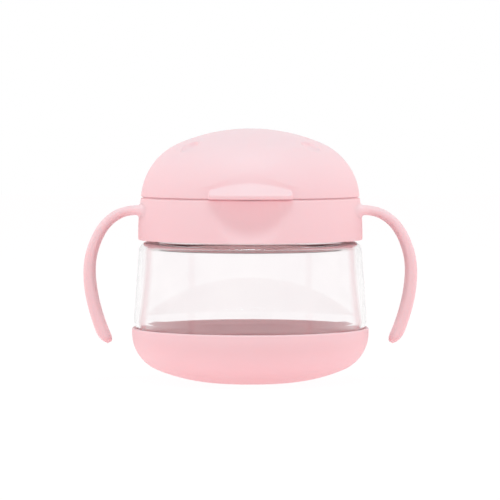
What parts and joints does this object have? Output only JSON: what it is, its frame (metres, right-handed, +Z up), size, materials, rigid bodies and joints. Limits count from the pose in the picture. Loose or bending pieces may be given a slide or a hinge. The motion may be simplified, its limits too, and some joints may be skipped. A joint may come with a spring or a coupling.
{
  "type": "toddler snack container",
  "caption": "Small round snack container: clear screw-neck cup in a soft non-slip base, threaded collar with side handles, soft flap opening and hinged dome lid with a thumb tab.",
  "frame": {"origin": "centre of the flat foot under the soft base, on the table, on the container's axis", "axes": "+Z up along the axis, -Y towards the front with the thumb tab and +Y towards the lid hinge, the handles along X"},
  "size_m": [0.1406, 0.1024, 0.1066],
  "materials": {
    "pink_plastic": "satin",
    "soft_pink": "matte",
    "clear_plastic": "gloss",
    "silicone": "satin",
    "steel": "satin"
  },
  "bodies": {
    "container": {"container": "clear_plastic", "base_boot": "soft_pink"},
    "gasket": {"container_gasket": "silicone"},
    "collar": {"collar": "pink_plastic", "flap_ring": "silicone", "hinge_pin": "steel"},
    "flap_1": {"flap_1": "silicone"},
    "flap_2": {"flap_2": "silicone"},
    "flap_3": {"flap_3": "silicone"},
    "flap_4": {"flap_4": "silicone"},
    "flap_5": {"flap_5": "silicone"},
    "flap_6": {"flap_6": "silicone"},
    "lid": {"lid": "pink_plastic", "lid_seal": "silicone"}
  },
  "joints": [
    {"name": "collar_lift", "type": "slide", "parent": "container", "child": "gasket", "axis": [0, 0, 1], "range_m": [0, 0.0046]},
    {"name": "collar_twist", "type": "hinge", "parent": "gasket", "child": "collar", "pos_m": [0, 0, 0.0744], "axis": [0, 0, 1], "range_deg": [0, 110]},
    {"name": "lid_hinge", "type": "hinge", "parent": "collar", "child": "lid", "pos_m": [0, 0.0496, 0.0778], "axis": [-1, 0, 0], "range_deg": [0, 180]},
    {"name": "flap_1_bend", "type": "hinge", "parent": "collar", "child": "flap_1", "pos_m": [0, -0.0294, 0.0782], "axis": [1, 0, 0], "range_deg": [-60, 45], "stiffness_Nm_per_rad": 0.005},
    {"name": "flap_2_bend", "type": "hinge", "parent": "collar", "child": "flap_2", "pos_m": [0.02546, -0.0147, 0.0782], "axis": [0.5, 0.866, 0], "range_deg": [-60, 45], "stiffness_Nm_per_rad": 0.005},
    {"name": "flap_3_bend", "type": "hinge", "parent": "collar", "child": "flap_3", "pos_m": [0.02546, 0.0147, 0.0782], "axis": [-0.5, 0.866, 0], "range_deg": [-60, 45], "stiffness_Nm_per_rad": 0.005},
    {"name": "flap_4_bend", "type": "hinge", "parent": "collar", "child": "flap_4", "pos_m": [0, 0.0294, 0.0782], "axis": [-1, 0, 0], "range_deg": [-60, 45], "stiffness_Nm_per_rad": 0.005},
    {"name": "flap_5_bend", "type": "hinge", "parent": "collar", "child": "flap_5", "pos_m": [-0.02546, 0.0147, 0.0782], "axis": [-0.5, -0.866, 0], "range_deg": [-60, 45], "stiffness_Nm_per_rad": 0.005},
    {"name": "flap_6_bend", "type": "hinge", "parent": "collar", "child": "flap_6", "pos_m": [-0.02546, -0.0147, 0.0782], "axis": [0.5, -0.866, 0], "range_deg": [-60, 45], "stiffness_Nm_per_rad": 0.005}
  ],
  "couplings": [
    {"joint": "collar_lift", "follows": "collar_twist", "m_per_rad": 0.0023873}
  ]
}
